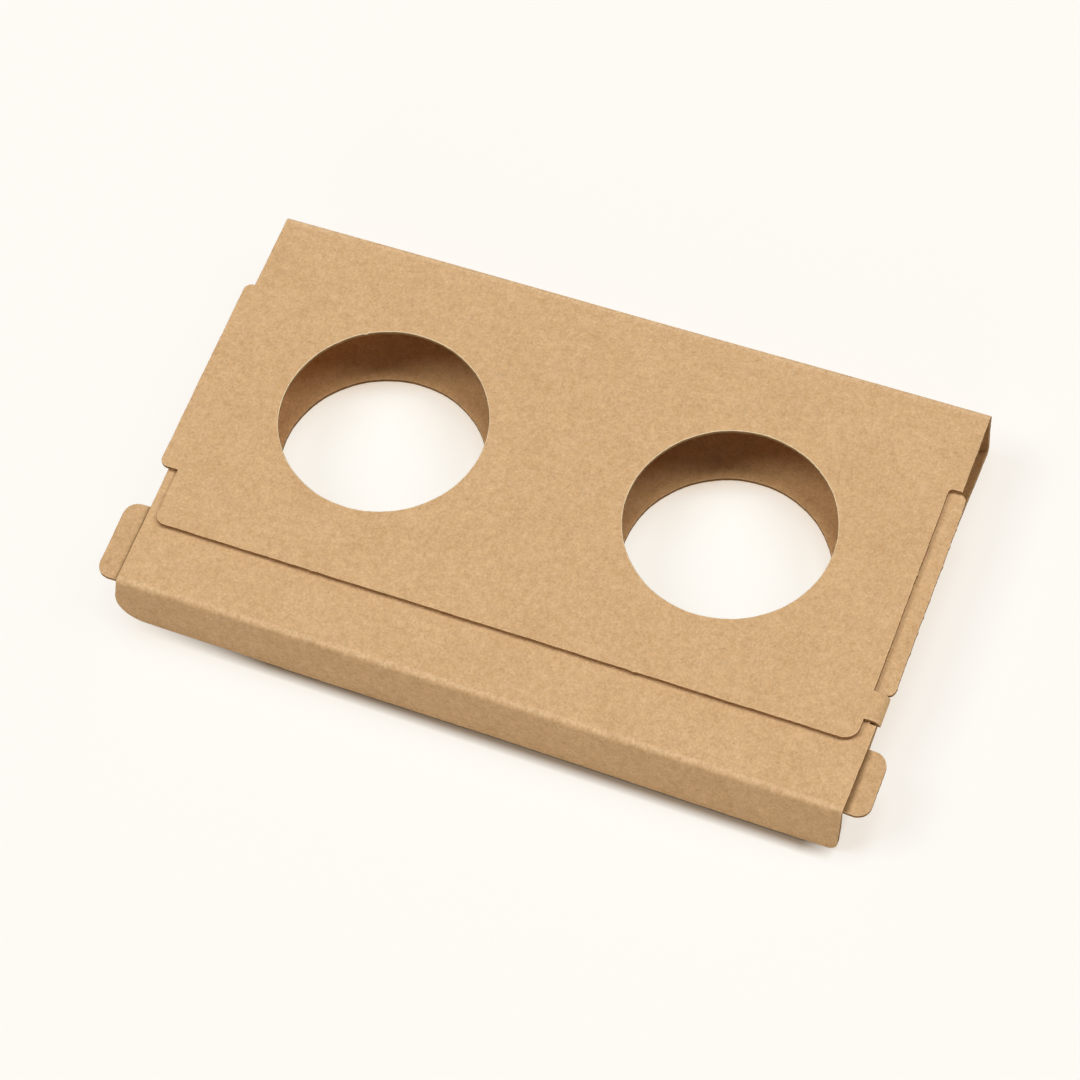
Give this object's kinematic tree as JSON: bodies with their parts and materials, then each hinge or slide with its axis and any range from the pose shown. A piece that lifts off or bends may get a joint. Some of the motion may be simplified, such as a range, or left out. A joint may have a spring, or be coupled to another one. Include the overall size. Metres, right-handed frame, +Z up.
{
  "type": "cardboard cup carrier",
  "caption": "Flat folded kraft board carrier with two round holes that hold a pair of takeaway paper cups, with locking tabs at both ends.",
  "frame": {"origin": "middle of the footprint, on the table the carrier lies on", "axes": "+X along the length from the end with the finger tab to the end with the locking hook, +Y from the front fold to the back fold, +Z up"},
  "size_m": [0.2444, 0.1412, 0.021],
  "materials": {
    "kraft_board": "matt natural brown kraft with short darker fibres"
  },
  "bodies": {
    "root": {"cup_carrier": "kraft_board"}
  },
  "joints": []
}
